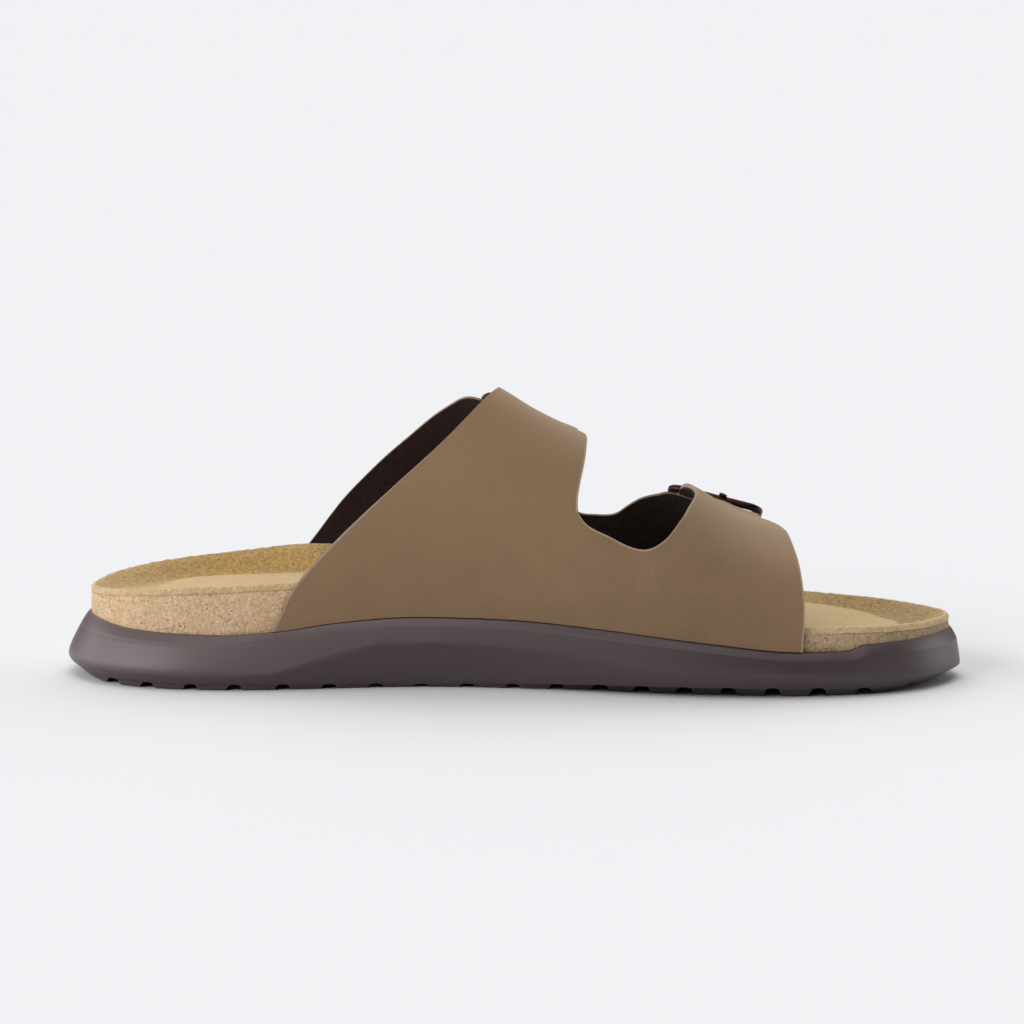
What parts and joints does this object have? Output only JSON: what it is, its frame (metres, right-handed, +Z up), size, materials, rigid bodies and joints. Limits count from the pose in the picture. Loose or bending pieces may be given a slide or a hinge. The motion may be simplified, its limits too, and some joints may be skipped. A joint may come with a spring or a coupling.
{
  "type": "double-buckle sandal",
  "caption": "Left slide sandal with a cork footbed, a lugged moulded sole and brown straps that buckle over the instep and the ball of the foot.",
  "frame": {"origin": "bottom centre of the bounding box, on the floor under the middle of the sole", "axes": "+X along the sole to the toe, +Y to the lateral (outer) side of the left foot, +Z up"},
  "size_m": [0.29, 0.105, 0.0935],
  "materials": {
    "sole_foam": "matte moulded foam",
    "cork": "matte cork grain",
    "suede": "napped suede",
    "strap_nubuck": "matte nubuck look",
    "buckle_bronze": "dark bronze, satin"
  },
  "bodies": {
    "root": {"outsole": "sole_foam", "cork_footbed": "cork", "insole": "suede", "upper": "strap_nubuck", "buckle_frame_rear": "buckle_bronze", "buckle_frame_front": "buckle_bronze", "buckle_prong_rear": "buckle_bronze", "buckle_prong_front": "buckle_bronze"}
  },
  "joints": []
}
